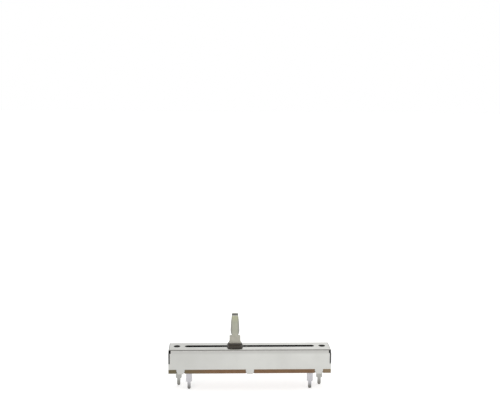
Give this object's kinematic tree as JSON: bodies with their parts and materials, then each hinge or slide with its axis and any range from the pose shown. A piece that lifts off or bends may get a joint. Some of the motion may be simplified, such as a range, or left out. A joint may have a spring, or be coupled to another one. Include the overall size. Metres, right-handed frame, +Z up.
{
  "type": "slide potentiometer",
  "caption": "Metal-cased linear fader with a flat lever in a top slot, guide rods and wiper inside, and solder terminals below for a circuit board.",
  "frame": {"origin": "under the middle of the case, at the level of the terminals' tips", "axes": "+X along the slot towards terminal 3, +Y from the front wall to the rear wall, +Z up out of the slot along the lever"},
  "size_m": [0.06, 0.009, 0.0283],
  "materials": {
    "tinned_steel": "tinned, satin",
    "paper_phenolic": "brown paper laminate, matte",
    "carbon_film": "printed carbon, matte",
    "silver_print": "printed silver, satin",
    "tinned_brass": "tin plated, satin",
    "ground_steel": "ground and polished",
    "black_moulding": "moulded, matte",
    "pad_rubber": "matte",
    "natural_acetal": "moulded, satin",
    "phosphor_bronze": "bright",
    "nickel_lever": "nickel plated, satin",
    "brown_moulding": "moulded, satin"
  },
  "bodies": {
    "frame": {"case": "tinned_steel", "base_board": "paper_phenolic", "resistive_track": "carbon_film", "collector_track": "silver_print", "track_pad_left": "silver_print", "track_pad_right": "silver_print", "terminal_1": "tinned_brass", "terminal_3": "tinned_brass", "terminal_2_left": "tinned_brass", "terminal_2_right": "tinned_brass", "guide_rod_front": "ground_steel", "guide_rod_rear": "ground_steel", "end_block_left": "black_moulding", "end_block_right": "black_moulding", "stop_pad_left": "pad_rubber", "stop_pad_right": "pad_rubber"},
    "slider": {"slider": "natural_acetal", "wiper": "phosphor_bronze", "lever": "nickel_lever", "lever_collar": "brown_moulding"}
  },
  "joints": [
    {"name": "fader_travel", "type": "slide", "parent": "frame", "child": "slider", "axis": [1, 0, 0], "range_m": [-0.017, 0.028]}
  ]
}
